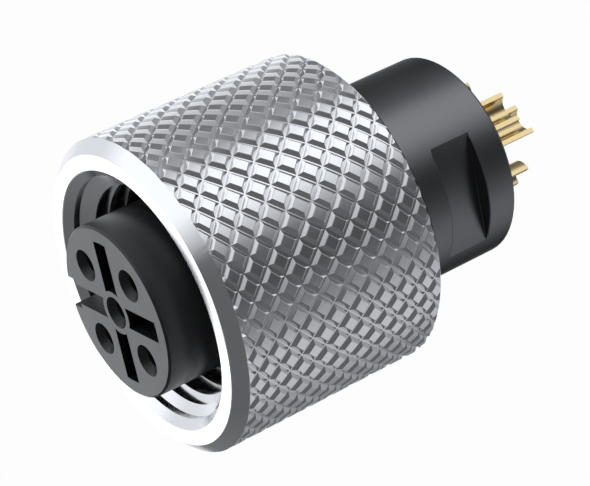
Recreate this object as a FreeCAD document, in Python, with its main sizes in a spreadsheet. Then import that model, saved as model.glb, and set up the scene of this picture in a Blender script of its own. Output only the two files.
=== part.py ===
import FreeCAD, Part
import math
import os

import Sketcher
from FreeCAD import Base

# M12 cable-end female connector with a knurled coupling nut.
# +Z is the mating direction; the origin is the centre of the mating face.
# The keyway points to -X, the wrench flats face +X and -X.

os.makedirs("parts", exist_ok=True)
doc = FreeCAD.newDocument("m12_connector")

# Driving sizes, in millimetres and degrees. Depths run from the mating face towards the rear.
SIZES = [
    # mating plug of the contact carrier
    ("plug_radius", 4.36, "radius of the mating plug"),
    ("plug_edge", 0.10, "chamfer on the rim of the mating face"),
    ("plug_depth", 8.40, "length of the mating plug, to the flange"),
    ("slot_inner", 1.10, "radius where the slots start, round the middle contact"),
    ("slot_outer", 3.62, "radius where the closed slots end"),
    ("slot_width", 1.06, "width of the slots"),
    ("slot_depth", 3.00, "depth of the closed slots"),
    ("key_width", 1.54, "width of the keyway at the rim"),
    ("key_depth", 6.00, "depth of the keyway"),
    # flange, neck and tail of the contact carrier
    ("flange_radius", 5.30, "radius of the flange that retains the nut"),
    ("flange_edge", 0.20, "chamfer on the flange"),
    ("flange_length", 2.50, "length of the flange"),
    ("neck_radius", 4.75, "radius of the neck that the nut turns on"),
    ("tail_radius", 4.00, "radius of the tail inside the rear sleeve"),
    ("tail_length", 1.75, "length of the tail"),
    # contact holes
    ("contact_circle", 5.50, "pitch circle diameter of the outer contacts"),
    ("contact_count", 4, "number of outer contacts"),
    ("contact_angle", 45.0, "angle of the first outer contact"),
    ("funnel_radius", 0.81, "radius of the lead-in at the mating face"),
    ("funnel_depth", 0.40, "depth of the lead-in"),
    ("entry_radius", 0.56, "radius of the closed entry behind the lead-in"),
    ("entry_depth", 0.60, "depth of the front wall that closes the entry"),
    ("passage_radius", 0.80, "radius of the contact passage"),
    ("collar_length", 1.00, "length of the contact's collar and of its seat"),
    ("collar_radius", 1.05, "radius of the contact's collar"),
    ("fit_gap", 0.02, "radial clearance of pieces that are pressed together"),
    ("seat_gap", 0.05, "radial clearance round the contacts"),
    # socket contacts
    ("pin_radius", 0.50, "radius of the pin that the socket takes"),
    ("socket_depth", 5.60, "depth of the socket bore"),
    ("tine_slot", 0.16, "width of the slots between the tines"),
    ("tine_length", 4.20, "length of the tines"),
    ("cup_radius", 0.85, "outer radius of the solder cup"),
    ("cup_bore", 0.60, "bore radius of the solder cup"),
    ("cup_depth", 2.60, "depth of the solder cup"),
    ("outer_reach", 2.94, "how far the outer cups stand out of the rear sleeve"),
    ("middle_reach", 5.10, "how far the middle cup stands out of the rear sleeve"),
    # rear sleeve and contact retainer
    ("sleeve_radius", 5.25, "outer radius of the rear sleeve"),
    ("sleeve_length", 6.66, "length of the rear sleeve"),
    ("sleeve_edge", 0.12, "chamfer on the rear rim of the sleeve"),
    ("lip_radius", 3.78, "radius of the opening in the sleeve's rear lip"),
    ("lip_length", 0.50, "length of the sleeve's rear lip"),
    ("flat_distance", 4.40, "distance of the wrench flats from the axis"),
    ("flat_setback", 1.65, "distance of the wrench flats from the sleeve's rear end"),
    ("flat_length", 2.30, "length of the wrench flats"),
    # seal ring
    ("seal_section", 0.96, "section diameter of the seal ring"),
    # coupling nut
    ("nut_setback", 1.30, "how far the mating face stands out of the nut"),
    ("nut_length", 11.80, "length of the nut"),
    ("nut_radius", 8.00, "radius over the knurl"),
    ("nut_face_radius", 7.42, "outer radius of the nut's front face"),
    ("nut_rear_edge", 0.22, "chamfer on the nut's rear rim"),
    ("mouth_radius", 6.60, "radius of the countersunk mouth"),
    ("thread_radius", 5.46, "minor radius of the M12x1 thread"),
    ("relief_radius", 6.05, "radius of the thread relief"),
    ("relief_depth", 7.60, "depth of the thread, from the nut's front face"),
    ("end_play", 0.15, "end play of the nut on either side"),
    ("neck_gap", 0.08, "radial running clearance between the nut and the neck"),
    # diamond knurl
    ("knurl_count", 36, "grooves of each hand round the nut"),
    ("knurl_lead_right", 55.0, "axial length of one turn of the right-hand grooves at mid length"),
    ("knurl_lead_left", 46.4, "axial length of one turn of the left-hand grooves at mid length"),
    ("knurl_bow", 0.22, "how much faster the grooves turn toward the nut's ends"),
    ("knurl_depth", 0.18, "depth of the grooves"),
    ("knurl_width", 0.46, "width of the grooves across their run at mid length"),
    ("knurl_start", 0.60, "depth of the first row of crossings behind the nut's front face"),
    ("knurl_phase", 1.60, "angle of one crossing in that first row"),
]

sheet = doc.addObject("Spreadsheet::Sheet", "dims")
for row, (alias, value, note) in enumerate(SIZES, start=1):
    sheet.set("A%d" % row, alias)
    sheet.set("B%d" % row, str(value))
    sheet.set("C%d" % row, note)
    sheet.setAlias("B%d" % row, alias)
doc.recompute()
ALIASES = sorted((alias for alias, value, note in SIZES), key=len, reverse=True)


def bound(text):
    """Turns a formula of size names into an expression that reads the sheet."""
    words = []
    word = ""
    for letter in text + " ":
        if letter.isalnum() or letter == "_":
            word += letter
            continue
        if word in ALIASES:
            word = "dims." + word
        words.append(word + letter)
        word = ""
    return "".join(words).strip()


def number(text):
    """Value of a formula of size names."""
    value = sheet.evalExpression(bound(text))
    return float(getattr(value, "Value", value))


def plane(body, role):
    """Origin plane or axis of a body, by its role."""
    return next(item for item in body.Origin.OriginFeatures if item.Role == role)


def new_body(label):
    body = doc.addObject("PartDesign::Body", label)
    body.Label = label
    return body


def new_sketch(body, name, role):
    sketch = body.newObject("Sketcher::SketchObject", name)
    sketch.AttachmentSupport = [(plane(body, role), "")]
    sketch.MapMode = "FlatFace"
    return sketch


def constrain(sketch, kind, references, text):
    """Adds one driven size to a sketch."""
    index = sketch.addConstraint(Sketcher.Constraint(kind, *references, number(text)))
    sketch.setExpression("Constraints[%d]" % index, bound(text))


def pin_point(sketch, geometry, position, across, along):
    """Places one point of a sketch by two formulas; "0" puts it on an axis."""
    if across == "0":
        sketch.addConstraint(Sketcher.Constraint("PointOnObject", geometry, position, -2))
    else:
        constrain(sketch, "DistanceX", (-1, 1, geometry, position), across)
    if along == "0":
        sketch.addConstraint(Sketcher.Constraint("PointOnObject", geometry, position, -1))
    else:
        constrain(sketch, "DistanceY", (-1, 1, geometry, position), along)


def polygon(sketch, points):
    """Closed outline through points that are given as pairs of formulas."""
    corners = [Base.Vector(number(across), number(along), 0) for across, along in points]
    count = len(corners)
    for index in range(count):
        sketch.addGeometry(Part.LineSegment(corners[index], corners[(index + 1) % count]), False)
    for index in range(count):
        sketch.addConstraint(Sketcher.Constraint("Coincident", index, 2, (index + 1) % count, 1))
    for index, (across, along) in enumerate(points):
        pin_point(sketch, index, 1, across, along)


def circle(sketch, across, along, radius):
    """Circle whose centre and radius are given as formulas."""
    centre = Base.Vector(number(across), number(along), 0)
    index = sketch.addGeometry(Part.Circle(centre, Base.Vector(0, 0, 1), number(radius)), False)
    constrain(sketch, "Radius", (index,), radius)
    pin_point(sketch, index, 3, across, along)


def checked(body, feature, grows):
    """Recomputes and makes sure that the feature added or removed material."""
    before = 0.0 if body.Shape.isNull() else body.Shape.Volume
    body.Tip = feature
    doc.recompute()
    after = feature.Shape.Volume
    if (grows and after <= before) or (not grows and after >= before):
        raise RuntimeError("%s changes nothing" % feature.Name)
    return feature


def turned(body, name, profile):
    """Solid of revolution about Z from (radius, height) formulas."""
    sketch = new_sketch(body, name + "_profile", "XZ_Plane")
    polygon(sketch, profile)
    feature = body.newObject("PartDesign::Revolution", name)
    feature.Profile = sketch
    feature.ReferenceAxis = (sketch, ["V_Axis"])
    feature.Angle = 360.0
    sketch.Visibility = False
    return checked(body, feature, True)


def cut(body, feature):
    """Sets a cutting feature as the tip and makes sure that it removes material."""
    before = body.Shape.Volume
    body.Tip = feature
    doc.recompute()
    if feature.Shape.isNull() or feature.Shape.Volume >= before - 1e-6:
        raise RuntimeError("%s removes nothing" % feature.Name)
    return feature


def turned_cut(body, name, profile, across="0", turn="0"):
    """Groove about Z, or about an axis parallel to Z at a distance and an angle given as formulas."""
    sketch = new_sketch(body, name + "_profile", "XZ_Plane")
    if across == "0":
        polygon(sketch, profile)
        axis = (sketch, ["V_Axis"])
    else:
        moved = [(across if radius == "0" else "%s + %s" % (across, radius), height)
                 for radius, height in profile]
        polygon(sketch, moved)
        line = Part.LineSegment(Base.Vector(number(across), 1, 0), Base.Vector(number(across), 2, 0))
        index = sketch.addGeometry(line, True)
        pin_point(sketch, index, 1, across, "1")
        pin_point(sketch, index, 2, across, "2")
        axis = (sketch, ["Axis0"])
        sketch.AttachmentOffset = Base.Placement(Base.Vector(0, 0, 0), Base.Rotation(Base.Vector(0, 1, 0), 1))
        sketch.setExpression("AttachmentOffset.Rotation.Angle", bound(turn))
    feature = body.newObject("PartDesign::Groove", name)
    feature.Profile = sketch
    feature.ReferenceAxis = axis
    feature.Angle = 360.0
    return cut(body, feature)


def pocket(body, sketch, name, depth):
    """Pocket from a sketch on the mating plane, towards the rear."""
    feature = body.newObject("PartDesign::Pocket", name)
    feature.Profile = sketch
    feature.Type = 0
    feature.setExpression("Length", bound(depth))
    return cut(body, feature)


def repeated(body, name, originals, count):
    """Copies of cuts, evenly round the axis."""
    feature = body.newObject("PartDesign::PolarPattern", name)
    feature.Originals = originals
    feature.Axis = (plane(body, "Z_Axis"), [""])
    feature.Angle = 360.0
    feature.setExpression("Occurrences", bound(count))
    return cut(body, feature)


# Formulas that several pieces share, so that they stay together when a size changes.
FLANGE_FRONT = "-plug_depth"
FLANGE_REAR = "-(plug_depth + flange_length)"
LIP_FRONT = "-(plug_depth + flange_length + end_play)"
NUT_REAR = "-(nut_setback + nut_length)"
SLEEVE_FRONT = "-(nut_setback + nut_length + end_play)"
SLEEVE_REAR = "-(nut_setback + nut_length + end_play + sleeve_length)"
TAIL_REAR = "-(nut_setback + nut_length + end_play + tail_length)"
COLLAR_FRONT = "-(nut_setback + nut_length + end_play + tail_length - collar_length)"
RETAINER_REAR = "-(nut_setback + nut_length + end_play + sleeve_length - lip_length)"
SEAT = "passage_radius - seat_gap"

# Contact carrier: plug, flange, neck and tail turned in one, then slots, keyway and contact holes.
carrier = new_body("contact_carrier")
turned(carrier, "carrier_blank", [
    ("0", "0"),
    ("plug_radius - plug_edge", "0"),
    ("plug_radius", "-plug_edge"),
    ("plug_radius", FLANGE_FRONT),
    ("flange_radius - flange_edge", FLANGE_FRONT),
    ("flange_radius", FLANGE_FRONT + " - flange_edge"),
    ("flange_radius", FLANGE_REAR),
    ("neck_radius", FLANGE_REAR),
    ("neck_radius", SLEEVE_FRONT),
    ("tail_radius - fit_gap", SLEEVE_FRONT),
    ("tail_radius - fit_gap", TAIL_REAR),
    ("0", TAIL_REAR),
])


def slot_outline(sketch, turn):
    """Slot between two arcs about the axis, from the middle boss outwards, centred on +X."""
    half = number("slot_width / 2")
    inner = number("slot_inner")
    outer = number("slot_outer")
    inner_across = math.sqrt(inner ** 2 - half ** 2)
    outer_across = math.sqrt(outer ** 2 - half ** 2)
    corners = [Base.Vector(inner_across, -half, 0), Base.Vector(outer_across, -half, 0),
               Base.Vector(outer_across, half, 0), Base.Vector(inner_across, half, 0)]
    sketch.addGeometry(Part.LineSegment(corners[0], corners[1]), False)
    arc = Part.Arc(corners[1], Base.Vector(outer, 0, 0), corners[2])
    sketch.addGeometry(arc, False)
    sketch.addGeometry(Part.LineSegment(corners[2], corners[3]), False)
    arc = Part.Arc(corners[0], Base.Vector(inner, 0, 0), corners[3])
    sketch.addGeometry(arc, False)
    for first, end, second, start in ((0, 2, 1, 1), (1, 2, 2, 1), (2, 2, 3, 2), (3, 1, 0, 1)):
        sketch.addConstraint(Sketcher.Constraint("Coincident", first, end, second, start))
    sketch.addConstraint(Sketcher.Constraint("Coincident", 1, 3, -1, 1))
    sketch.addConstraint(Sketcher.Constraint("Coincident", 3, 3, -1, 1))
    sketch.addConstraint(Sketcher.Constraint("Horizontal", 0))
    sketch.addConstraint(Sketcher.Constraint("Horizontal", 2))
    constrain(sketch, "Radius", (1,), "slot_outer")
    constrain(sketch, "Radius", (3,), "slot_inner")
    constrain(sketch, "DistanceY", (-1, 1, 2, 1), "slot_width / 2")
    constrain(sketch, "DistanceY", (0, 1, -1, 1), "slot_width / 2")
    sketch.AttachmentOffset = Base.Placement(Base.Vector(0, 0, 0), Base.Rotation(Base.Vector(0, 0, 1), turn))


for side, turn in (("east", 0), ("north", 90), ("south", 270)):
    slot = new_sketch(carrier, "slot_%s_outline" % side, "XY_Plane")
    slot_outline(slot, turn)
    pocket(carrier, slot, "slot_" + side, "slot_depth")

# The keyway takes the fourth slot's place and opens, wider, through the plug's rim.
west = new_sketch(carrier, "key_slot_outline", "XY_Plane")
slot_outline(west, 180)
pocket(carrier, west, "key_slot", "key_depth")
keyway = new_sketch(carrier, "keyway_outline", "XY_Plane")
polygon(keyway, [
    ("-(slot_outer - slot_width / 10)", "-key_width / 2"),
    ("-(slot_outer - slot_width / 10)", "key_width / 2"),
    ("-(plug_radius + plug_edge)", "key_width / 2"),
    ("-(plug_radius + plug_edge)", "-key_width / 2"),
])
pocket(carrier, keyway, "keyway", "key_depth")

HOLE = [
    ("0", "0"),
    ("funnel_radius", "0"),
    ("entry_radius", "-funnel_depth"),
    ("entry_radius", "-entry_depth"),
    ("passage_radius", "-entry_depth"),
    ("passage_radius", COLLAR_FRONT),
    ("collar_radius + seat_gap", COLLAR_FRONT),
    ("collar_radius + seat_gap", TAIL_REAR),
    ("0", TAIL_REAR),
]
turned_cut(carrier, "middle_hole", HOLE)


def polar(radius, angle):
    """Pair of formulas for a point at a radius and an angle about the axis."""
    return "%s * cos(%s)" % (radius, angle), "%s * sin(%s)" % (radius, angle)


def round_cut(body, name, radius, top, bottom):
    """Ring of round holes at the outer contacts, between two depths."""
    sketch = new_sketch(body, name + "_outline", "XY_Plane")
    across, along = polar("contact_circle / 2", "contact_angle")
    circle(sketch, across, along, radius)
    sketch.setExpression("AttachmentOffset.Base.z", bound(top))
    first = pocket(body, sketch, name, "%s - (%s)" % (top, bottom))
    return first


outer_hole = turned_cut(carrier, "outer_hole", HOLE, "contact_circle / 2", "contact_angle")
repeated(carrier, "outer_holes", [outer_hole], "contact_count")

# Contact retainer: rear insulator behind the collars, held by the sleeve's lip.
retainer = new_body("contact_retainer")
turned(retainer, "retainer_blank", [
    ("0", TAIL_REAR),
    ("tail_radius - fit_gap", TAIL_REAR),
    ("tail_radius - fit_gap", RETAINER_REAR),
    ("0", RETAINER_REAR),
])
turned_cut(retainer, "middle_hole_rear", [
    ("0", TAIL_REAR),
    ("cup_radius + seat_gap", TAIL_REAR),
    ("cup_radius + seat_gap", RETAINER_REAR),
    ("0", RETAINER_REAR),
])
rear_hole = round_cut(retainer, "rear_hole", "cup_radius + seat_gap", TAIL_REAR, RETAINER_REAR)
repeated(retainer, "rear_holes", [rear_hole], "contact_count")

# Rear sleeve with a lip at its rear end and a wrench flat on either side.
sleeve = new_body("rear_sleeve")
turned(sleeve, "sleeve_blank", [
    ("tail_radius", SLEEVE_FRONT),
    ("sleeve_radius", SLEEVE_FRONT),
    ("sleeve_radius", SLEEVE_REAR + " + sleeve_edge"),
    ("sleeve_radius - sleeve_edge", SLEEVE_REAR),
    ("lip_radius", SLEEVE_REAR),
    ("lip_radius", RETAINER_REAR),
    ("tail_radius", RETAINER_REAR),
])
flats = new_sketch(sleeve, "flats_outline", "XY_Plane")
polygon(flats, [
    ("flat_distance", "-sleeve_radius"),
    ("sleeve_radius + sleeve_edge", "-sleeve_radius"),
    ("sleeve_radius + sleeve_edge", "sleeve_radius"),
    ("flat_distance", "sleeve_radius"),
])
flats.setExpression("AttachmentOffset.Base.z", bound(SLEEVE_REAR + " + flat_setback + flat_length"))
flat = pocket(sleeve, flats, "wrench_flat", "flat_length")
repeated(sleeve, "wrench_flats", [flat], "2")

# Seal ring at the foot of the plug, against the flange.
seal = doc.addObject("Part::Torus", "seal_ring")
seal.Label = "seal_ring"
seal.setExpression("Radius1", bound("plug_radius + seal_section / 2"))
seal.setExpression("Radius2", bound("seal_section / 2"))
seal.setExpression("Placement.Base.z", bound(FLANGE_FRONT + " + seal_section / 2"))


def contact(label, reach, opening, across="0", along="0"):
    """Socket contact along Z: slotted tines in front, collar, solder cup open on one side at the rear."""
    rear = "(%s - %s)" % (SLEEVE_REAR, reach)
    front = "-entry_depth"
    body = new_body(label)
    turned(body, label + "_blank", [
        ("0", front),
        (SEAT, front),
        (SEAT, COLLAR_FRONT),
        ("collar_radius", COLLAR_FRONT),
        ("collar_radius", TAIL_REAR),
        ("cup_radius", TAIL_REAR),
        ("cup_radius", rear),
        ("0", rear),
    ])
    turned_cut(body, label + "_socket", [
        ("0", front),
        ("pin_radius", front),
        ("pin_radius", front + " - socket_depth"),
        ("0", front + " - socket_depth"),
    ])
    turned_cut(body, label + "_cup", [
        ("0", rear),
        ("cup_bore", rear),
        ("cup_bore", rear + " + cup_depth"),
        ("0", rear + " + cup_depth"),
    ])
    tines = new_sketch(body, label + "_tine_outline", "XY_Plane")
    polygon(tines, [
        ("-2 * passage_radius", "-tine_slot / 2"),
        ("2 * passage_radius", "-tine_slot / 2"),
        ("2 * passage_radius", "tine_slot / 2"),
        ("-2 * passage_radius", "tine_slot / 2"),
    ])
    tines.setExpression("AttachmentOffset.Base.z", bound(front))
    first = pocket(body, tines, label + "_tine_slot", "tine_length")
    repeated(body, label + "_tine_slots", [first], "4")
    mouth = new_sketch(body, label + "_mouth_outline", "XY_Plane")
    polygon(mouth, [
        ("0", "-2 * cup_radius"),
        ("2 * cup_radius", "-2 * cup_radius"),
        ("2 * cup_radius", "2 * cup_radius"),
        ("0", "2 * cup_radius"),
    ])
    mouth.setExpression("AttachmentOffset.Base.z", bound(rear + " + cup_depth"))
    pocket(body, mouth, label + "_mouth", "cup_depth")
    body.setExpression("Placement.Rotation.Angle", bound(opening))
    if across != "0":
        body.setExpression("Placement.Base.x", bound(across))
        body.setExpression("Placement.Base.y", bound(along))
    return body


contacts = [contact("socket_contact_5", "middle_reach", "contact_angle")]
for index in range(int(number("contact_count"))):
    turn = "(contact_angle + %d * 360 / contact_count)" % index
    across, along = polar("contact_circle / 2", turn)
    contacts.append(contact("socket_contact_%d" % (index + 1), "outer_reach", turn, across, along))

# Coupling nut, turned: countersunk mouth, thread bore, relief and the rear lip that runs on the neck.
blank = new_body("nut_turned")
NUT_FRONT = "-nut_setback"
OVER = "(nut_radius + 4 * knurl_depth)"
turned(blank, "nut_blank", [
    ("mouth_radius", NUT_FRONT),
    ("nut_face_radius", NUT_FRONT),
    (OVER, NUT_FRONT + " - (" + OVER + " - nut_face_radius)"),
    (OVER, NUT_REAR + " + nut_rear_edge + 4 * knurl_depth"),
    ("nut_radius - nut_rear_edge", NUT_REAR),
    ("neck_radius + neck_gap", NUT_REAR),
    ("neck_radius + neck_gap", LIP_FRONT),
    ("relief_radius", LIP_FRONT),
    ("relief_radius", NUT_FRONT + " - relief_depth - (relief_radius - thread_radius)"),
    ("thread_radius", NUT_FRONT + " - relief_depth"),
    ("thread_radius", NUT_FRONT + " - (mouth_radius - thread_radius)"),
])


def knurled_bar():
    """Bar with a diamond knurl: flat-topped pads between V grooves of either hand."""
    count = int(number("knurl_count"))
    step = 2 * math.pi / count
    right = 2 * math.pi / number("knurl_lead_right")
    left = 2 * math.pi / number("knurl_lead_left")
    bow = number("knurl_bow")
    top = number("nut_radius")
    bottom = top - number("knurl_depth")
    phase = math.radians(number("knurl_phase"))
    front = number(NUT_FRONT)
    rear = number(NUT_REAR)
    middle = (front + rear) / 2
    start = front - number("knurl_start")
    # Distance between neighbouring grooves across their run, and the share that the walls take.
    side_right = math.hypot(top * right, 1) * step / (right + left)
    side_left = math.hypot(top * left, 1) * step / (right + left)
    area = top * step * step / (right + left)
    wall_right = number("knurl_width") * side_right / area / 2
    wall_left = number("knurl_width") * side_left / area / 2

    def turn(height, rate):
        """Angle that a groove has turned since the middle. It turns faster toward both ends."""
        even = rate * (height - middle)
        return even * (1 + bow * even ** 2)

    def meeting(row):
        """Height where the grooves of either hand meet, counted in rows from the first one."""
        wanted = turn(start, left) + turn(start, right) + row * step
        low = middle - 2 * (front - rear)
        high = middle + 2 * (front - rear)
        for _ in range(60):
            height = (low + high) / 2
            if turn(height, left) + turn(height, right) < wanted:
                low = height
            else:
                high = height
        return height

    def place(column, row, radius):
        """Point of the bar, counted in grooves round it and in rows along it."""
        height = meeting(row)
        angle = phase + column * step + turn(height, left) - turn(start, left)
        return Base.Vector(radius * math.cos(angle), radius * math.sin(angle), height)

    faces = []

    def triangle(one, two, three):
        faces.append(Part.Face(Part.makePolygon([one, two, three, one])))

    # The bar reaches one whole row past either end of the nut.
    first = 0
    while meeting(first - 1) < front:
        first += 1
    last = 0
    while meeting(last + 1) > rear:
        last -= 1
    for row in range(first, last + 1, -1):
        for column in range(count):
            # Shares run down the left-hand and the right-hand groove from the upper crossing.
            lows = []
            pads = []
            for down_left, down_right in ((0, 0), (1, 0), (1, 1), (0, 1)):
                lows.append(place(column + down_right, row - down_left - down_right, bottom))
                inner_left = down_left + (1 - 2 * down_left) * wall_right
                inner_right = down_right + (1 - 2 * down_right) * wall_left
                pads.append(place(column + inner_right, row - inner_left - inner_right, top))
            triangle(pads[0], pads[1], pads[2])
            triangle(pads[0], pads[2], pads[3])
            for index in range(4):
                following = (index + 1) % 4
                triangle(lows[index], lows[following], pads[index])
                triangle(lows[following], pads[following], pads[index])
    # Either end is a flat polygon of crossings, with one triangle to each crossing of the next row.
    for row, inward in ((first, -1), (last, 1)):
        ring = [place(column, row, bottom) for column in range(count)]
        for column in range(count):
            between = place(column + 1 if inward < 0 else column, row + inward, bottom)
            triangle(ring[column], ring[(column + 1) % count], between)
        faces.append(Part.Face(Part.makePolygon(ring + [ring[0]])))
    shell = Part.Shell(faces)
    solid = Part.Solid(shell)
    if solid.Volume < 0:
        solid.reverse()
    return solid


bar = doc.addObject("Part::Feature", "knurled_bar")
bar.Shape = knurled_bar()
nut = doc.addObject("Part::Common", "coupling_nut")
nut.Label = "coupling_nut"
nut.Base = blank
nut.Tool = bar
doc.recompute()

pieces = [carrier, retainer, sleeve, seal, nut] + contacts
for item in doc.Objects:
    if "Invalid" in item.State or "Error" in item.State:
        raise RuntimeError("%s failed: %s" % (item.Label, item.State))
for piece in pieces:
    if piece.Shape.isNull() or not piece.Shape.isValid() or len(piece.Shape.Solids) != 1:
        raise RuntimeError("%s is not one valid solid" % piece.Label)
for piece in pieces:
    piece.Shape.exportStep("parts/%s.step" % piece.Label)
    print(piece.Label, round(piece.Shape.Volume, 3), len(piece.Shape.Faces))
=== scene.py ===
"""Round five-pole cable connector: finished model, studio and camera."""

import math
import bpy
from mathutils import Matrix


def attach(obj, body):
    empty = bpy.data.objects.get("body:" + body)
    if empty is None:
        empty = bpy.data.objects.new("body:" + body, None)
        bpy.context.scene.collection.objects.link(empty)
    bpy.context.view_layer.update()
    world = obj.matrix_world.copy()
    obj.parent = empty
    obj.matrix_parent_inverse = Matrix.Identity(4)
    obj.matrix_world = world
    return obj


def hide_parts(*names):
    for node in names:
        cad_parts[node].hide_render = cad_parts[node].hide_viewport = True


bl_info = {
    "name": "Round Cable Connector",
    "version": (1, 0, 0),
    "blender": (4, 5, 0),
    "location": "View3D > Sidebar > Connector",
    "description": "Finishes a five-pole cable connector with a knurled coupling nut",
    "category": "Add Mesh",
}

import bmesh
import bpy
from mathutils import Euler, Vector

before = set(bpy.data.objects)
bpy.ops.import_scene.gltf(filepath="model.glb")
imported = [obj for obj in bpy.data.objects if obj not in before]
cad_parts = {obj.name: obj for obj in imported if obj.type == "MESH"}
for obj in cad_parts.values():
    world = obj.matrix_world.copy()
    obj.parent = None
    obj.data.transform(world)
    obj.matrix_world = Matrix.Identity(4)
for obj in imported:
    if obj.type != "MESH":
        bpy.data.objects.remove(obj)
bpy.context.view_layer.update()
MM = 0.001


# Sizes, colours and light levels

def length(name, description, millimetres):
    return bpy.props.FloatProperty(name=name, description=description,
                                   default=millimetres * MM, unit="LENGTH", precision=6)


def colour(name, description, value):
    return bpy.props.FloatVectorProperty(name=name, description=description, default=value,
                                         subtype="COLOR", size=3, min=0.0, max=1.0)


class CONNECTOR_PG_nut(bpy.types.PropertyGroup):
    """Sizes of the coupling nut"""

    front: length("Front", "Height of the nut's front face", -1.30)
    rear: length("Rear", "Height of the nut's rear face", -13.10)
    radius: length("Radius", "Radius over the knurl", 8.00)
    face_radius: length("Face Radius", "Outer radius of the front face", 7.42)
    rear_edge: length("Rear Edge", "Chamfer on the rear rim", 0.22)
    mouth_radius: length("Mouth Radius", "Radius of the countersunk mouth", 6.60)
    counterbore_radius: length("Counterbore Radius", "Plain bore in front of the thread", 6.20)
    counterbore_depth: length("Counterbore Depth", "How far the plain bore reaches in", 0.72)
    edge: length("Edge", "Small break on the turned rims", 0.05)
    thread_minor: length("Thread Minor", "Minor radius of the thread", 5.46)
    thread_major: length("Thread Major", "Major radius of the thread", 6.00)
    thread_pitch: length("Thread Pitch", "Pitch of the thread", 1.00)
    thread_crest: length("Thread Crest", "Flat on the crests of the thread", 0.30)
    thread_end: length("Thread End", "Height where the thread runs into its relief", -8.90)
    relief_radius: length("Relief Radius", "Radius of the thread relief", 6.05)
    lip_front: length("Lip Front", "Height of the shoulder inside the nut", -11.05)
    lip_radius: length("Lip Radius", "Radius of the bore that runs on the neck", 4.83)
    knurl_start: length("Knurl Start", "Height of the first row of groove crossings", -1.90)
    knurl_depth: length("Knurl Depth", "Depth of the grooves", 0.16)
    knurl_width: length("Knurl Width", "Width of the grooves across their run", 0.42)
    knurl_floor: length("Knurl Floor", "Flat at the bottom of the grooves", 0.05)
    knurl_edge: length("Knurl Edge", "Half width of the worn edge round each pad", 0.016)
    lead_right: length("Right Lead", "Length of one turn of the right-hand grooves", 55.0)
    lead_left: length("Left Lead", "Length of one turn of the left-hand grooves", 46.4)
    knurl_count: bpy.props.IntProperty(
        name="Knurl Count", description="Grooves of each hand", default=36, min=8)
    knurl_phase: bpy.props.FloatProperty(
        name="Knurl Phase", description="Angle of one crossing in the first row",
        default=math.radians(1.60), subtype="ANGLE")
    knurl_bow: bpy.props.FloatProperty(
        name="Knurl Bow", description="How much faster the grooves turn toward both ends",
        default=0.22, min=0.0)
    knurl_runout: bpy.props.FloatProperty(
        name="Knurl Runout", description="Share of a row over which the grooves reach full depth",
        default=0.22, min=0.01)
    segments: bpy.props.IntProperty(
        name="Segments", description="Divisions round the turned faces", default=180, min=48)


class CONNECTOR_PG_finish(bpy.types.PropertyGroup):
    """Colours of the finishes"""

    nickel: colour("Nickel", "Bright nickel plate of the nut", (0.78, 0.78, 0.79))
    carrier: colour("Carrier", "Moulded plastic of the mating plug", (0.008, 0.008, 0.0085))
    sleeve: colour("Sleeve", "Mirror tint of the black rear sleeve", (0.185, 0.185, 0.19))
    seal: colour("Seal", "Rubber of the seal ring", (0.020, 0.020, 0.020))
    gold: colour("Gold", "Gold plate of the contacts", (0.71, 0.55, 0.29))
    floor: colour("Floor", "Pale studio floor", (0.90, 0.90, 0.90))
    edge: length("Edge", "Radius of the moulded edges", 0.05)


class CONNECTOR_PG_studio(bpy.types.PropertyGroup):
    """Floor, light and camera"""

    floor_height: length("Floor Height", "Height of the floor", -40.0)
    floor_size: length("Floor Size", "Width of the floor", 6000.0)
    key_power: bpy.props.FloatProperty(
        name="Key Power", description="Power of the overhead soft box", default=0.25,
        unit="POWER")
    lens: bpy.props.FloatProperty(
        name="Lens", description="Focal length of the camera, in millimetres",
        default=152.39632, subtype="DISTANCE_CAMERA")
    camera_place: bpy.props.FloatVectorProperty(
        name="Camera Place", description="Place of the camera", subtype="TRANSLATION",
        unit="LENGTH", default=(0.0957961077, 0.0483155297, 0.0452687987))
    camera_turn: bpy.props.FloatVectorProperty(
        name="Camera Turn", description="Rotation of the camera", subtype="EULER",
        default=tuple(math.radians(angle) for angle in (-40.0592124, 53.2449570, -19.2593883)))


# Node trees

class Value:
    """A number in a node tree. Arithmetic on it adds Math nodes."""

    def __init__(self, graph, socket):
        self.graph = graph
        self.socket = socket

    def math(self, operation, *others):
        node = self.graph.node("ShaderNodeMath", {"operation": operation},
                               dict(enumerate((self,) + others)))
        return Value(self.graph, node.outputs[0])

    def __add__(self, other):
        return self.math("ADD", other)

    def __mul__(self, other):
        return self.math("MULTIPLY", other)

    def __truediv__(self, other):
        return self.math("DIVIDE", other)

    def __sub__(self, other):
        return self.math("SUBTRACT", other)

    def __rsub__(self, other):
        return self.math("MULTIPLY_ADD", -1.0, other)

    __radd__ = __add__
    __rmul__ = __mul__


class Graph:
    """A node tree that is being filled."""

    def __init__(self, tree):
        self.tree = tree
        tree.nodes.clear()

    def node(self, kind, settings=None, inputs=None):
        """One node: its settings first, then the values or links of its sockets."""
        node = self.tree.nodes.new(kind)
        for name, setting in (settings or {}).items():
            if name == "stops":
                set_stops(node.color_ramp, setting)
            else:
                setattr(node, name, setting)
        for name, given in (inputs or {}).items():
            if isinstance(given, Value):
                given = given.socket
            if isinstance(given, bpy.types.NodeSocket):
                self.tree.links.new(given, node.inputs[name])
            else:
                node.inputs[name].default_value = given
        return node

    def value(self, kind, settings=None, inputs=None, output=0):
        """The number that a new node gives at one of its outputs."""
        return Value(self, self.node(kind, settings, inputs).outputs[output])


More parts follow.
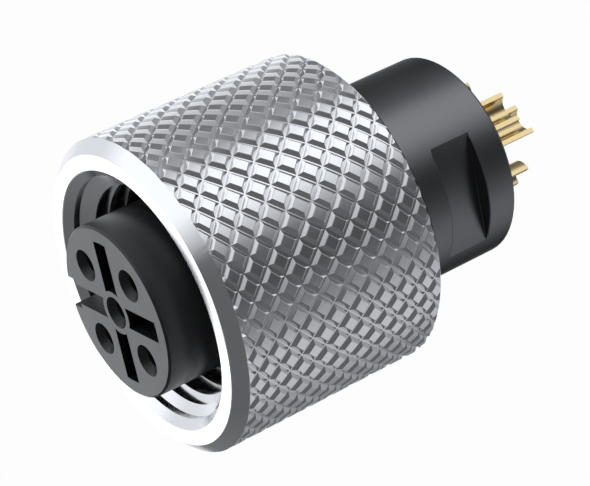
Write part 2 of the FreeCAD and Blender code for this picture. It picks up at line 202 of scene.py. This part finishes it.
def set_stops(ramp, stops):
    """Grey stops of a colour ramp, as (position, level) pairs in rising order."""
    while len(ramp.elements) > 1:
        ramp.elements.remove(ramp.elements[-1])
    for index, (position, level) in enumerate(stops):
        stop = ramp.elements.new(position) if index else ramp.elements[0]
        stop.position = position
        stop.color = (level, level, level, 1.0)


def shade(share, level):
    """A colour scaled by a level, kept within the range of a colour."""
    return tuple(min(1.0, level * part) for part in share) + (1.0,)


# Finishes

def grain(graph, scale, detail, stretch=(1.0, 1.0, 1.0)):
    """Fine noise over the piece, centred on zero. Scale is in features per metre."""
    place = graph.node("ShaderNodeTexCoord").outputs["Object"]
    spread = graph.node("ShaderNodeMapping", None, {"Vector": place, "Scale": stretch})
    noise = graph.value("ShaderNodeTexNoise", {"noise_dimensions": "3D"},
                        {"Vector": spread.outputs[0], "Scale": scale, "Detail": detail,
                         "Roughness": 0.55})
    return noise - 0.5


def surface(name, tint, contrast, cloud_scale, gloss, gloss_change, relief, metallic=1.0,
            rim=1.0):
    """Finish whose colour and gloss drift slowly, over a fine relief."""
    material = bpy.data.materials.new(name)
    material.use_nodes = True
    graph = Graph(material.node_tree)
    cloud = grain(graph, cloud_scale, 3.0)
    height = grain(graph, *relief["grain"])
    bump = graph.node("ShaderNodeBump", None, {
        "Strength": relief["strength"], "Distance": relief["height"], "Height": height})
    tone = graph.node("ShaderNodeMix", {"data_type": "RGBA"}, {
        0: cloud + 0.5, 6: shade(tint, 1.0 - contrast), 7: shade(tint, 1.0 + contrast)})
    shader = graph.node("ShaderNodeBsdfPrincipled", None, {
        "Base Color": tone.outputs[2], "Metallic": metallic,
        "Specular Tint": (rim, rim, rim, 1.0),
        "Roughness": cloud * gloss_change + gloss, "Normal": bump.outputs[0]})
    graph.node("ShaderNodeOutputMaterial", None, {"Surface": shader.outputs[0]})
    return material


def nickel_plate():
    """Bright nickel over turned brass: lathe marks softened by the plating."""
    return surface("bright_nickel_plate", bpy.context.scene.connector_finish.nickel, 0.04,
                   250.0, 0.16, 0.08,
                   {"grain": (900.0, 2.0, (1.0, 1.0, 3.0)), "strength": 0.08, "height": 2e-5})


def gold_plate():
    """Gold plate over turned copper alloy."""
    return surface("gold_plate", bpy.context.scene.connector_finish.gold, 0.06,
                   900.0, 0.20, 0.12,
                   {"grain": (2500.0, 2.0, (1.0, 1.0, 5.0)), "strength": 0.10, "height": 1e-5})


def moulded_plastic(name, tint, gloss, metallic=0.0, rim=1.0):
    """Satin moulded plastic with the fine grain of its mould."""
    return surface(name, tint, 0.10, 400.0, gloss, 0.08,
                   {"grain": (9000.0, 2.0), "strength": 0.25, "height": 1e-5}, metallic, rim)


def black_satin(name, tint, gloss):
    """Black plastic set up as a dark mirror, which has no pale rim at grazing angles."""
    return moulded_plastic(name, tint, gloss, 1.0, 0.3)


def dress(node, material):
    """Gives a node of the CAD frame its finish."""
    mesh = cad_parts[node].data
    for index in range(len(mesh.materials)):
        mesh.materials[index] = material
    if not mesh.materials:
        mesh.materials.append(material)


# Meshes

def mesh_object(name, vertices, faces):
    mesh = bpy.data.meshes.new(name)
    mesh.from_pydata(vertices, [], faces)
    piece = bpy.data.objects.new(name, mesh)
    bpy.context.scene.collection.objects.link(piece)
    return piece


def remove_objects(pieces):
    for piece in pieces:
        mesh = piece.data
        bpy.data.objects.remove(piece)
        bpy.data.meshes.remove(mesh)


def face_outwards(piece):
    form = bmesh.new()
    form.from_mesh(piece.data)
    bmesh.ops.recalc_face_normals(form, faces=form.faces)
    form.to_mesh(piece.data)
    form.free()


def broken_edges(node, width):
    """Copy of a turned CAD node with its triangles joined and its sharp edges broken."""
    flat, sharp, broken = (math.radians(angle) for angle in (0.5, 30.0, 35.0))
    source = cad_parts[node]
    seed = mesh_object(node + "_seed", [], [])
    form = bmesh.new()
    form.from_mesh(source.data)
    form.transform(source.matrix_world)
    bmesh.ops.remove_doubles(form, verts=form.verts, dist=1e-7)
    bmesh.ops.dissolve_limit(form, angle_limit=flat, verts=form.verts, edges=form.edges)
    form.to_mesh(seed.data)
    form.free()
    seed.data.shade_smooth()
    seed.data.set_sharp_from_angle(angle=sharp)
    bevel = seed.modifiers.new("edges", "BEVEL")
    bevel.width = width
    bevel.segments = 2
    bevel.harden_normals = True
    bevel.limit_method = "ANGLE"
    bevel.angle_limit = broken
    bpy.context.view_layer.update()
    graph = bpy.context.evaluated_depsgraph_get()
    mesh = bpy.data.meshes.new_from_object(seed.evaluated_get(graph), depsgraph=graph)
    mesh.name = node + "_turned"
    seed.modifiers.remove(bevel)
    remove_objects([seed])
    round_about_axis(mesh)
    piece = bpy.data.objects.new(mesh.name, mesh)
    bpy.context.scene.collection.objects.link(piece)
    return piece


def round_about_axis(mesh):
    """Lets the faces turned about Z shade as true rounds, however they are divided."""
    normals = [corner.vector.copy() for corner in mesh.corner_normals]
    for face in mesh.polygons:
        for corner in face.loop_indices:
            place = mesh.vertices[mesh.loops[corner].vertex_index].co
            radial = Vector((place.x, place.y, 0.0)).normalized()
            facing = face.normal.dot(radial)
            if abs(facing) > math.cos(math.radians(8.0)):
                normals[corner] = radial * math.copysign(1.0, facing)
    mesh.normals_split_custom_set(normals)


def turned_ring(name, profile, segments):
    """Closed ring of revolution about Z from (radius, height) pairs."""
    count = len(profile)
    vertices = []
    for turn in range(segments):
        angle = 2 * math.pi * turn / segments
        for radius, height in profile:
            vertices.append((radius * math.cos(angle), radius * math.sin(angle), height))
    faces = []
    for turn in range(segments):
        here = turn * count
        there = (turn + 1) % segments * count
        for index in range(count):
            following = (index + 1) % count
            faces.append((here + index, there + index, there + following, here + following))
    piece = mesh_object(name, vertices, faces)
    face_outwards(piece)
    return piece


def threaded_plug(name, profile, pitch, low, turns, segments):
    """Solid with a right-hand thread about Z. The profile is one pitch of (rise, radius)."""
    marks = [(low + lift * pitch + rise, radius)
             for lift in range(turns) for rise, radius in profile]
    count = len(marks)
    skip = len(profile)
    vertices = []
    for turn in range(segments):
        angle = 2 * math.pi * turn / segments
        for height, radius in marks:
            vertices.append((radius * math.cos(angle), radius * math.sin(angle),
                             height + pitch * turn / segments))
    last_turn = [(radius, 0.0, height + pitch) for height, radius in marks[-skip:]]
    extra = len(vertices)
    vertices += last_turn

    def at(turn, mark):
        if turn < segments:
            return turn * count + mark
        return mark + skip if mark + skip < count else extra + mark + skip - count

    faces = []
    for turn in range(segments):
        for mark in range(count - 1):
            faces.append((at(turn, mark), at(turn + 1, mark),
                          at(turn + 1, mark + 1), at(turn, mark + 1)))
    bottom = len(vertices)
    vertices.append((0.0, 0.0, low))
    top = len(vertices)
    vertices.append((0.0, 0.0, low + (turns + 1) * pitch))
    under = [at(turn, 0) for turn in range(segments + 1)]
    under += list(reversed(range(0, skip)))
    over = [at(turn, count - 1) for turn in range(segments + 1)]
    over += [at(segments, mark) for mark in range(count - 2, count - 2 - skip, -1)]
    for rim, centre in ((under, bottom), (over, top)):
        for here, there in zip(rim, rim[1:]):
            faces.append((here, there, centre))
    piece = mesh_object(name, vertices, faces)
    face_outwards(piece)
    return piece


# Coupling nut

class KnurlPattern:
    """Places of the groove crossings of a diamond knurl, and the form of a pad between them."""

    # Share of their full depth that the grooves have at the first row of crossings.
    FIRST_DEPTH = 0.12

    def __init__(self, sizes):
        self.radius = sizes.radius
        self.step = 2 * math.pi / sizes.knurl_count
        self.right = 2 * math.pi / sizes.lead_right
        self.left = 2 * math.pi / sizes.lead_left
        self.bow = sizes.knurl_bow
        self.middle = (sizes.front + sizes.rear) / 2
        self.reach = sizes.front - sizes.rear
        self.start = sizes.knurl_start
        self.runout = sizes.knurl_runout
        self.phase = sizes.knurl_phase
        half = sizes.knurl_width / 2
        floor = sizes.knurl_floor / 2
        edge = sizes.knurl_edge
        depth = sizes.knurl_depth
        marks = (0.0, floor, half - edge, half + edge)
        levels = [-depth, -depth, -depth * edge / (half - floor), 0.0]
        self.levels = levels + [0.0] + levels[::-1]
        row = self.step / (self.right + self.left)
        area = self.radius * self.step * row
        self.knots_left = self.knots(marks, area / (row * math.hypot(self.radius * self.right, 1.0)))
        self.knots_right = self.knots(marks, area / (row * math.hypot(self.radius * self.left, 1.0)))
        self.first = 0
        while self.meeting(self.first - 1) < sizes.front:
            self.first += 1
        self.last = 0
        while self.meeting(self.last + 1) > sizes.rear:
            self.last -= 1

    @staticmethod
    def knots(marks, spacing):
        near = [mark / spacing for mark in marks]
        return near + [0.5] + [1.0 - share for share in reversed(near)]

    def turn(self, height, rate):
        """Angle that a groove has turned since the middle. It turns faster toward both ends."""
        even = rate * (height - self.middle)
        return even * (1.0 + self.bow * even ** 2)

    def meeting(self, row):
        """Height where the grooves of either hand meet, counted in rows from the first one."""
        wanted = (self.turn(self.start, self.left) + self.turn(self.start, self.right)
                  + row * self.step)
        low = self.middle - 2 * self.reach
        high = self.middle + 2 * self.reach
        for _ in range(60):
            height = (low + high) / 2
            if self.turn(height, self.left) + self.turn(height, self.right) < wanted:
                low = height
            else:
                high = height
        return height

    def place(self, column, row, level):
        """Point of the bar, counted in grooves round it and in rows along it."""
        height = self.meeting(row)
        angle = (self.phase + column * self.step
                 + self.turn(height, self.left) - self.turn(self.start, self.left))
        reach = self.radius + level * min(1.0, max(0.0, self.FIRST_DEPTH - row / self.runout))
        return (reach * math.cos(angle), reach * math.sin(angle), height)

    def strip(self):
        """Pads of one column with their walls and the near halves of the grooves round them."""
        size = len(self.levels)
        vertices = []
        faces = []
        for row in range(self.first, self.last + 1, -1):
            base = len(vertices)
            for across, left in enumerate(self.knots_left):
                for along, right in enumerate(self.knots_right):
                    level = min(self.levels[across], self.levels[along])
                    vertices.append(self.place(right, row - left - right, level))
            for across in range(size - 1):
                for along in range(size - 1):
                    one = base + across * size + along
                    two, three, four = one + size, one + size + 1, one + 1
                    if across == along:
                        faces += [(one, two, three), (one, three, four)]
                    elif across + along == size - 2:
                        faces += [(one, two, four), (two, three, four)]
                    else:
                        faces.append((one, two, three, four))
        return mesh_object("knurl_strip", vertices, faces)

    def wedge(self, name, rim):
        """Sector that closes one end of the knurled bar under one pad."""
        points = [self.place(column, row, self.levels[0]) for column, row in rim]
        centre = (0.0, 0.0, points[0][2])
        faces = [(0, index, index + 1) for index in range(1, len(points))]
        return mesh_object(name, [centre] + points, faces)

    def front_wedge(self):
        rim = [(0.0, self.first - left) for left in reversed(self.knots_left)]
        rim += [(right, self.first - right) for right in self.knots_right[1:]]
        return self.wedge("front_wedge", rim)

    def rear_wedge(self):
        end = self.last + 1
        rim = [(1.0, end - left) for left in self.knots_left[:-1]]
        rim += [(right, end - right) for right in reversed(self.knots_right)]
        return self.wedge("rear_wedge", rim)


NUT_INPUTS = (
    ("Strip", "NodeSocketObject"),
    ("Front Wedge", "NodeSocketObject"),
    ("Rear Wedge", "NodeSocketObject"),
    ("Blank", "NodeSocketObject"),
    ("Tap", "NodeSocketObject"),
    ("Columns", "NodeSocketInt"),
    ("Column Turn", "NodeSocketFloat"),
    ("Merge Distance", "NodeSocketFloat"),
    ("Finish", "NodeSocketMaterial"),
)


def nut_tree():
    """Tree that lays the knurl strips round a bar, cuts the turned blank from it and taps it."""
    tree = bpy.data.node_groups.new("knurled_nut", "GeometryNodeTree")
    for name, kind in NUT_INPUTS:
        tree.interface.new_socket(name, in_out="INPUT", socket_type=kind)
    tree.interface.new_socket("Geometry", in_out="OUTPUT", socket_type="NodeSocketGeometry")
    graph = Graph(tree)
    given = graph.node("NodeGroupInput").outputs
    turn = graph.value("GeometryNodeInputIndex") * Value(graph, given["Column Turn"])
    euler = graph.node("ShaderNodeCombineXYZ", None, {"Z": turn})
    rotation = graph.node("FunctionNodeEulerToRotation", None, {0: euler.outputs[0]})
    points = graph.node("GeometryNodePoints", None, {"Count": given["Columns"]})

    def form(name):
        return graph.node("GeometryNodeObjectInfo", {"transform_space": "ORIGINAL"},
                          {"Object": given[name]}).outputs["Geometry"]

    def laid(shape):
        return graph.node("GeometryNodeInstanceOnPoints", None, {
            "Points": points.outputs[0], "Instance": shape,
            "Rotation": rotation.outputs[0]}).outputs[0]

    join = graph.node("GeometryNodeJoinGeometry")
    for name in ("Strip", "Front Wedge", "Rear Wedge"):
        tree.links.new(laid(form(name)), join.inputs[0])
    real = graph.node("GeometryNodeRealizeInstances", None, {0: join.outputs[0]})
    bar = graph.node("GeometryNodeMergeByDistance", None,
                     {0: real.outputs[0], "Distance": given["Merge Distance"]})
    turned = graph.node("GeometryNodeMeshBoolean",
                        {"operation": "INTERSECT", "solver": "MANIFOLD"})
    tree.links.new(form("Blank"), turned.inputs[1])
    tree.links.new(bar.outputs[0], turned.inputs[1])
    tapped = graph.node("GeometryNodeMeshBoolean",
                        {"operation": "DIFFERENCE", "solver": "MANIFOLD"},
                        {0: turned.outputs[0], 1: form("Tap")})
    plain = graph.node("GeometryNodeRealizeInstances", None, {0: tapped.outputs[0]})
    plated = graph.node("GeometryNodeSetMaterial", None,
                        {0: plain.outputs[0], "Material": given["Finish"]})
    graph.node("NodeGroupOutput", None, {0: plated.outputs[0]})
    return tree


def grown(name, tree, settings):
    """Plain mesh object that a geometry node tree gives with these inputs."""
    seed = mesh_object(name + "_seed", [], [])
    modifier = seed.modifiers.new("tree", "NODES")
    modifier.node_group = tree
    for socket in tree.interface.items_tree:
        if socket.in_out == "INPUT":
            modifier[socket.identifier] = settings[socket.name]
    bpy.context.view_layer.update()
    graph = bpy.context.evaluated_depsgraph_get()
    mesh = bpy.data.meshes.new_from_object(seed.evaluated_get(graph), depsgraph=graph)
    mesh.name = name
    seed.modifiers.remove(modifier)
    remove_objects([seed])
    piece = bpy.data.objects.new(name, mesh)
    bpy.context.scene.collection.objects.link(piece)
    return piece


def nut_blank(sizes):
    """Turned outline of the nut. Past its chamfers it stands clear of the knurl."""
    over = sizes.radius + 3 * sizes.knurl_depth
    edge = sizes.edge
    ease = edge * 0.4
    mouth = sizes.mouth_radius
    run = sizes.relief_radius - sizes.thread_minor
    return turned_ring("nut_blank", [
        (mouth + edge, sizes.front),
        (sizes.face_radius - edge, sizes.front),
        (sizes.face_radius, sizes.front - ease),
        (over, sizes.front - (over - sizes.face_radius)),
        (over, sizes.rear + over - sizes.radius + sizes.rear_edge),
        (sizes.radius - sizes.rear_edge, sizes.rear),
        (sizes.lip_radius + edge, sizes.rear),
        (sizes.lip_radius, sizes.rear + edge),
        (sizes.lip_radius, sizes.lip_front),
        (sizes.relief_radius, sizes.lip_front),
        (sizes.relief_radius, sizes.thread_end - run),
        (sizes.thread_minor, sizes.thread_end),
        (sizes.thread_minor, sizes.front - (mouth - sizes.thread_minor)),
        (sizes.counterbore_radius, sizes.front - sizes.counterbore_depth),
        (sizes.counterbore_radius, sizes.front - (mouth - sizes.counterbore_radius)),
        (mouth, sizes.front - ease),
    ], sizes.segments)


def nut_tap(sizes):
    """Tap of the nut's thread. Between its teeth it stays clear of the bore."""
    clear = 0.1 * MM
    run_in = 0.4 * MM
    slope = math.tan(math.radians(30.0))
    root = (sizes.thread_pitch - sizes.thread_crest) / 2
    tip = root - slope * (sizes.thread_major - sizes.thread_minor)
    foot = root + slope * clear
    inner = sizes.thread_minor - clear
    profile = [(-foot, inner), (-tip, sizes.thread_major), (tip, sizes.thread_major),
               (foot, inner)]
    turns = math.ceil((sizes.front - sizes.thread_end) / sizes.thread_pitch) + 1
    return threaded_plug("nut_tap", profile, sizes.thread_pitch,
                         sizes.thread_end - run_in, turns, sizes.segments)


class CONNECTOR_OT_coupling_nut(bpy.types.Operator):
    """Builds the knurled and tapped coupling nut"""

    bl_idname = "connector.coupling_nut"
    bl_label = "Coupling Nut"
    bl_options = {"REGISTER", "UNDO"}

    def execute(self, context):
        sizes = context.scene.connector_nut
        pattern = KnurlPattern(sizes)
        parts = {"Strip": pattern.strip(), "Front Wedge": pattern.front_wedge(),
                 "Rear Wedge": pattern.rear_wedge(), "Blank": nut_blank(sizes),
                 "Tap": nut_tap(sizes)}
        settings = dict(parts)
        settings.update({
            "Columns": sizes.knurl_count,
            "Column Turn": pattern.step,
            "Merge Distance": 1e-7,
            "Finish": nickel_plate(),
        })
        nut = grown("knurled_coupling_nut", nut_tree(), settings)
        remove_objects(parts.values())
        nut.data.shade_smooth()
        nut.data.set_sharp_from_angle(angle=math.radians(15.0))
        if not nut.data.polygons:
            raise RuntimeError("The coupling nut came out empty")
        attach(nut, "nut")
        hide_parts("coupling_nut")
        return {"FINISHED"}


# Insulators and contacts

class CONNECTOR_OT_insulators(bpy.types.Operator):
    """Finishes the plug, the retainer, the rear sleeve and the seal ring"""

    bl_idname = "connector.insulators"
    bl_label = "Insulators"
    bl_options = {"REGISTER", "UNDO"}

    def execute(self, context):
        finish = context.scene.connector_finish
        sleeve = broken_edges("rear_sleeve", finish.edge)
        sleeve.data.materials.clear()
        sleeve.data.materials.append(black_satin("sleeve_plastic", finish.sleeve, 0.30))
        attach(sleeve, "connector_body")
        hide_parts("rear_sleeve")
        dress("contact_carrier", moulded_plastic("carrier_plastic", finish.carrier, 0.40))
        dress("contact_retainer", black_satin("retainer_plastic", finish.sleeve, 0.45))
        dress("seal_ring", moulded_plastic("seal_rubber", finish.seal, 0.55))
        return {"FINISHED"}


class CONNECTOR_OT_contacts(bpy.types.Operator):
    """Finishes the socket contacts"""

    bl_idname = "connector.contacts"
    bl_label = "Contacts"
    bl_options = {"REGISTER", "UNDO"}

    def execute(self, context):
        gold = gold_plate()
        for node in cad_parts:
            if node.startswith("socket_contact"):
                dress(node, gold)
        return {"FINISHED"}


# Studio

# Brightness of the studio round the connector's axis, by azimuth in degrees: a card below the
# horizon, the walls above it and the soft boxes overhead.
LOW_LIGHTS = (
    (-180.0, 0.66), (-152.0, 0.58), (-130.0, 0.20), (-106.0, 0.22), (-80.0, 0.50),
    (-50.0, 0.50), (-20.0, 0.18), (0.0, 0.07), (15.0, 0.07), (28.0, 0.15), (58.0, 1.0),
    (86.0, 1.0), (104.0, 0.33), (124.0, 0.17), (152.0, 0.17), (168.0, 0.62), (180.0, 0.66),
)
WALL_LIGHTS = (
    (-180.0, 0.72), (-168.0, 0.90), (-160.0, 1.5), (-146.0, 1.5), (-136.0, 0.16),
    (-92.0, 0.11), (34.0, 0.11), (80.0, 0.47), (120.0, 1.0), (142.0, 1.0), (156.0, 0.70),
    (180.0, 0.72),
)
HIGH_LIGHTS = (
    (-180.0, 1.0), (-168.0, 1.4), (-138.0, 1.4), (-122.0, 0.11), (38.0, 0.11), (86.0, 1.0),
    (180.0, 1.0),
)

# Heights over which one ring of lights gives way to the next, from -1 straight down to 1 up.
CARD_TO_WALLS = (-0.38, -0.05)
WALLS_TO_BOXES = (0.52, 0.78)
UNDERSIDE_TO_CARD = (-0.85, -0.60)
UNDERSIDE_LEVEL = 0.30
STUDIO_LEVEL = 1.28
STUDIO_TINT = (0.97, 1.0, 1.045, 1.0)


def studio_world():
    """White behind the object for the camera. Metal and shade see soft boxes and dark flags."""
    world = bpy.data.worlds.new("studio")
    world.use_nodes = True
    graph = Graph(world.node_tree)
    direction = graph.node("ShaderNodeTexCoord").outputs["Generated"]
    axes = graph.node("ShaderNodeSeparateXYZ", None, {0: direction}).outputs
    share = Value(graph, axes[1]).math("ARCTAN2", Value(graph, axes[0])) / (2 * math.pi) + 0.5

    def lights(levels):
        stops = [(azimuth / 360.0 + 0.5, level) for azimuth, level in levels]
        return graph.value("ShaderNodeValToRGB", {"stops": stops}, {0: share})

    def rise(low, high):
        return graph.value("ShaderNodeMapRange", {"interpolation_type": "SMOOTHSTEP"}, {
            "Value": axes[2], "From Min": low, "From Max": high, "To Min": 0.0, "To Max": 1.0})

    def blend(low, high, share_high):
        return (1.0 - share_high) * low + share_high * high

    level = blend(lights(LOW_LIGHTS), lights(WALL_LIGHTS), rise(*CARD_TO_WALLS))
    level = blend(level, lights(HIGH_LIGHTS), rise(*WALLS_TO_BOXES))
    level = blend(UNDERSIDE_LEVEL, level, rise(*UNDERSIDE_TO_CARD))
    level = level * STUDIO_LEVEL
    seen = graph.value("ShaderNodeLightPath")
    studio = graph.node("ShaderNodeBackground", None, {
        "Color": STUDIO_TINT, "Strength": level})
    white = graph.node("ShaderNodeBackground", None, {
        "Color": (1.0, 1.0, 1.0, 1.0), "Strength": 1.0})
    mixed = graph.node("ShaderNodeMixShader", None, {
        0: seen, 1: studio.outputs[0], 2: white.outputs[0]})
    graph.node("ShaderNodeOutputWorld", None, {0: mixed.outputs[0]})
    return world


def floor_material(tint):
    """Pale floor: nearly white to the camera, with the object's shadow left on it."""
    material = bpy.data.materials.new("pale_floor")
    material.use_nodes = True
    graph = Graph(material.node_tree)
    matt = graph.node("ShaderNodeBsdfDiffuse", None, {"Color": tuple(tint) + (1.0,)})
    white = graph.node("ShaderNodeEmission", None, {"Color": (1.0, 1.0, 1.0, 1.0),
                                                    "Strength": 1.0})
    seen = graph.value("ShaderNodeLightPath")
    mixed = graph.node("ShaderNodeMixShader", None, {
        0: seen * 0.94, 1: matt.outputs[0], 2: white.outputs[0]})
    graph.node("ShaderNodeOutputMaterial", None, {0: mixed.outputs[0]})
    return material


class CONNECTOR_OT_studio(bpy.types.Operator):
    """Sets up the floor, the soft light and the camera"""

    bl_idname = "connector.studio"
    bl_label = "Studio"
    bl_options = {"REGISTER", "UNDO"}

    def execute(self, context):
        scene = context.scene
        studio = scene.connector_studio
        reach = studio.floor_size / 2
        level = studio.floor_height
        floor = mesh_object("floor", [(-reach, -reach, level), (reach, -reach, level),
                                      (reach, reach, level), (-reach, reach, level)],
                            [(0, 1, 2, 3)])
        floor.data.materials.append(floor_material(scene.connector_finish.floor))
        floor.visible_glossy = False
        scene.world = studio_world()
        key = bpy.data.lights.new("overhead_soft_box", "AREA")
        key.shape = "DISK"
        key.size = 0.40
        key.energy = studio.key_power
        lamp = bpy.data.objects.new("overhead_soft_box", key)
        lamp.location = (0.05, -0.10, 0.45)
        lamp.rotation_euler = lamp.location.to_track_quat("Z", "Y").to_euler()
        lamp.visible_glossy = False
        scene.collection.objects.link(lamp)
        lens = bpy.data.cameras.new("camera")
        lens.sensor_width = 36.0
        lens.sensor_fit = "HORIZONTAL"
        lens.lens = studio.lens
        lens.clip_start = 0.01
        lens.clip_end = 20.0
        camera = bpy.data.objects.new("camera", lens)
        camera.location = studio.camera_place
        camera.rotation_euler = Euler(studio.camera_turn, "XYZ")
        scene.collection.objects.link(camera)
        scene.camera = camera
        scene.view_settings.view_transform = "Standard"
        return {"FINISHED"}


class CONNECTOR_PT_panel(bpy.types.Panel):
    """Steps that build the connector"""

    bl_label = "Cable Connector"
    bl_idname = "CONNECTOR_PT_panel"
    bl_space_type = "VIEW_3D"
    bl_region_type = "UI"
    bl_category = "Connector"

    def draw(self, context):
        for step in STEPS:
            self.layout.operator(step.bl_idname)
        for group in ("connector_nut", "connector_finish", "connector_studio"):
            settings = getattr(context.scene, group)
            box = self.layout.box()
            for name in settings.__annotations__:
                box.prop(settings, name)


STEPS = (CONNECTOR_OT_studio, CONNECTOR_OT_coupling_nut, CONNECTOR_OT_insulators,
         CONNECTOR_OT_contacts)
GROUPS = (CONNECTOR_PG_nut, CONNECTOR_PG_finish, CONNECTOR_PG_studio)


def register():
    for item in GROUPS + STEPS + (CONNECTOR_PT_panel,):
        bpy.utils.register_class(item)
    bpy.types.Scene.connector_nut = bpy.props.PointerProperty(type=CONNECTOR_PG_nut)
    bpy.types.Scene.connector_finish = bpy.props.PointerProperty(type=CONNECTOR_PG_finish)
    bpy.types.Scene.connector_studio = bpy.props.PointerProperty(type=CONNECTOR_PG_studio)


def unregister():
    del bpy.types.Scene.connector_studio
    del bpy.types.Scene.connector_finish
    del bpy.types.Scene.connector_nut
    for item in reversed(GROUPS + STEPS + (CONNECTOR_PT_panel,)):
        bpy.utils.unregister_class(item)


def main():
    register()
    bpy.ops.connector.studio()
    bpy.ops.connector.coupling_nut()
    bpy.ops.connector.insulators()
    bpy.ops.connector.contacts()


if __name__ == "__main__":
    main()
